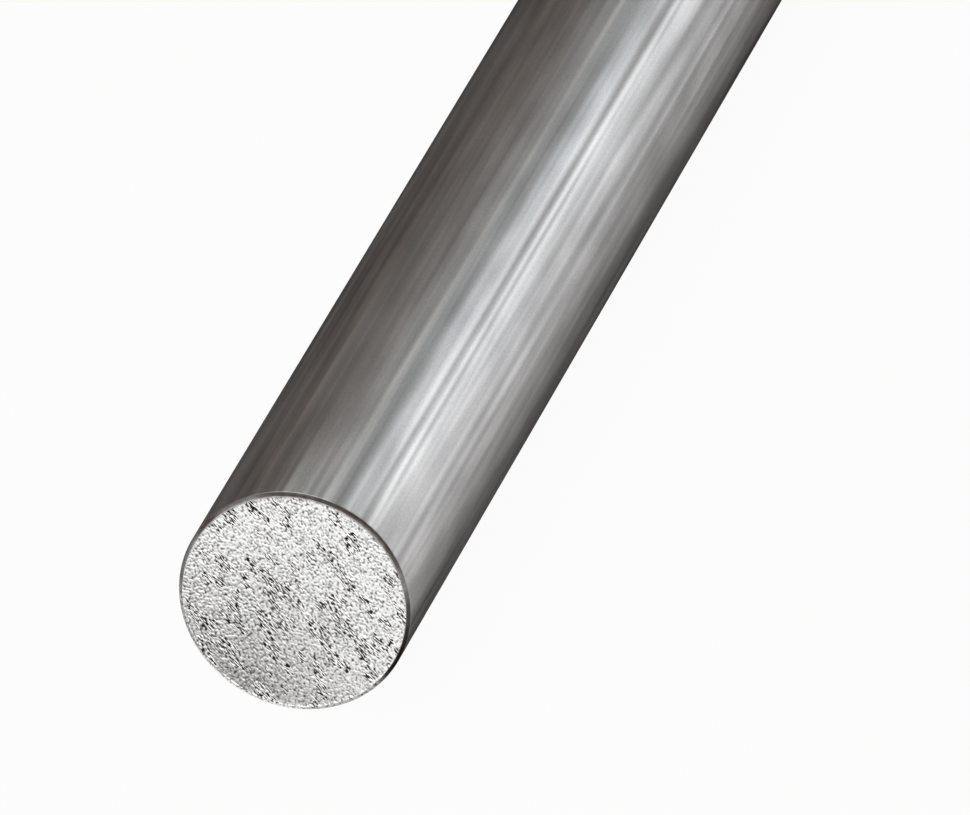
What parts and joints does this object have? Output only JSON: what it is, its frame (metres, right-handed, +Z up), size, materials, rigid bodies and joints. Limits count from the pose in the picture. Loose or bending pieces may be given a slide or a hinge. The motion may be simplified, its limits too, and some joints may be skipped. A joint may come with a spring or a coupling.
{
  "type": "steel rod",
  "caption": "Solid round bar of bright drawn steel, cut square at both ends with narrow chamfered rims; stock for pins, shafts and frames.",
  "frame": {"origin": "on the floor plane, below the middle of the rod's length", "axes": "+X along the rod, from one cut face to the other; +Z up, with the rod lying on Z = 0"},
  "size_m": [0.3048, 0.019, 0.019],
  "materials": {
    "drawn_steel": "bright drawn, satin, with draw lines along the length"
  },
  "bodies": {
    "root": {"steel_rod": "drawn_steel"}
  },
  "joints": []
}
